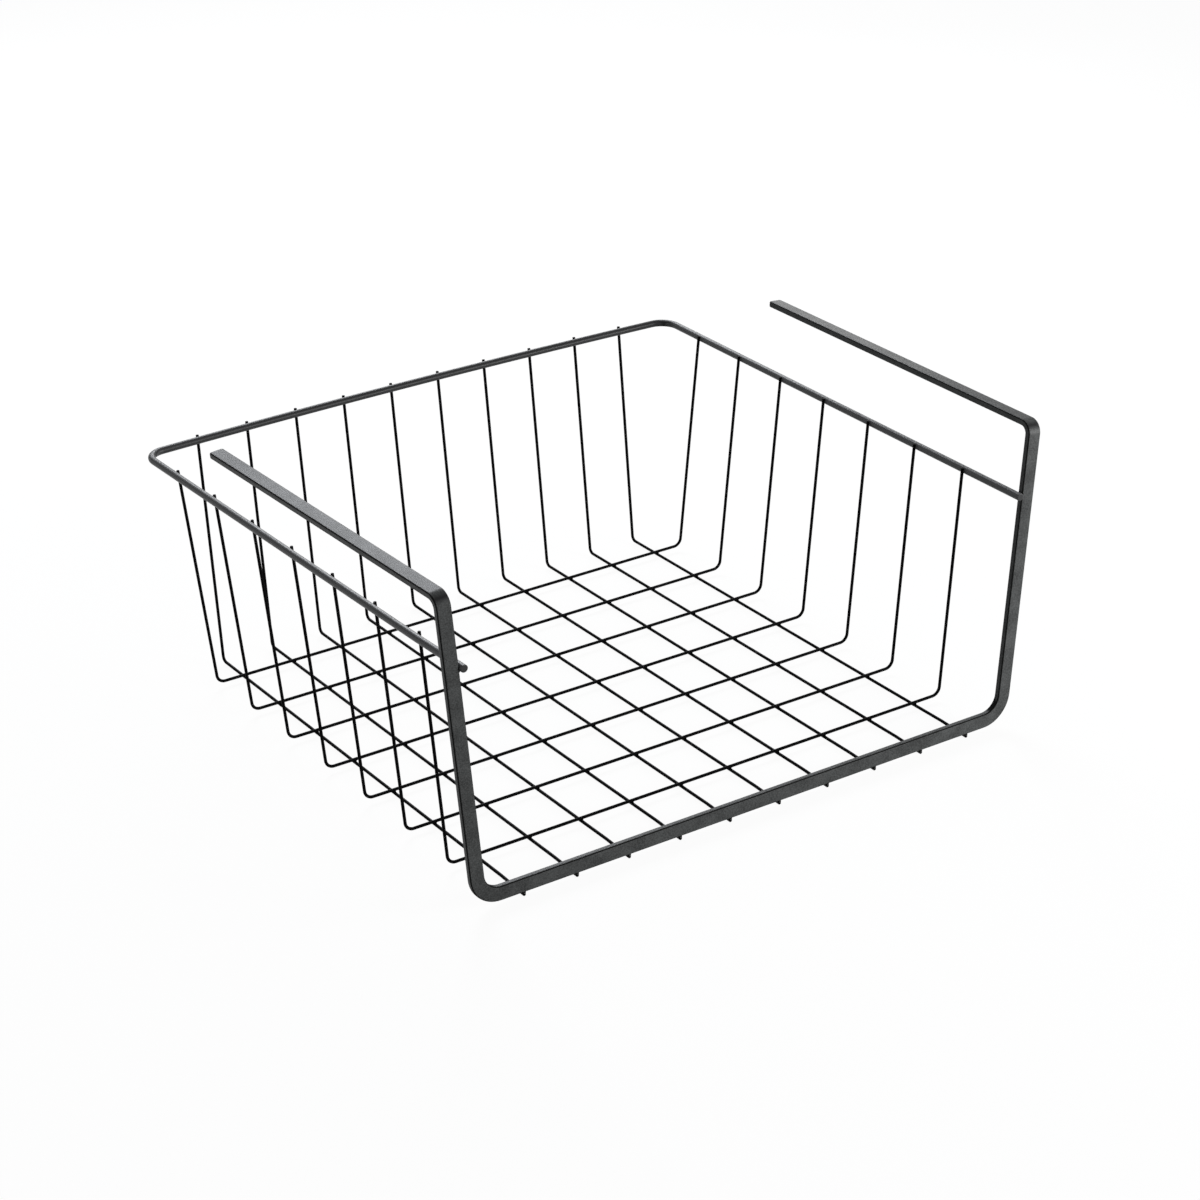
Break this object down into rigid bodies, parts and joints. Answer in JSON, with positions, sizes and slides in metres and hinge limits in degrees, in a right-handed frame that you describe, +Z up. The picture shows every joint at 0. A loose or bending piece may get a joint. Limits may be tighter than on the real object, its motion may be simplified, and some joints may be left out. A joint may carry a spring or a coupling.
{
  "type": "storage basket",
  "caption": "Welded wire storage basket with an open front and a low sill, hung under a shelf board by flat arms that reach back over the board.",
  "frame": {"origin": "middle of the footprint, on the surface that the lowest floor wires stand on", "axes": "+Z up, -Y out of the open front, +X to the right as seen from the front"},
  "size_m": [0.303, 0.2668, 0.14],
  "materials": {
    "frame_coat": "fine-textured dark grey powder coat, matt",
    "rim_coat": "dark grey powder coat, satin",
    "wire_coat": "near-black powder coat, satin"
  },
  "bodies": {
    "root": {"frame_bar": "frame_coat", "rim_wire": "rim_coat", "front_to_back_wire_1": "wire_coat", "front_to_back_wire_2": "wire_coat", "front_to_back_wire_3": "wire_coat", "front_to_back_wire_4": "wire_coat", "front_to_back_wire_5": "wire_coat", "front_to_back_wire_6": "wire_coat", "front_to_back_wire_7": "wire_coat", "front_to_back_wire_8": "wire_coat", "front_to_back_wire_9": "wire_coat", "front_to_back_wire_10": "wire_coat", "cross_wire_1": "wire_coat", "cross_wire_2": "wire_coat", "cross_wire_3": "wire_coat", "cross_wire_4": "wire_coat", "cross_wire_5": "wire_coat", "cross_wire_6": "wire_coat", "cross_wire_7": "wire_coat"}
  },
  "joints": []
}
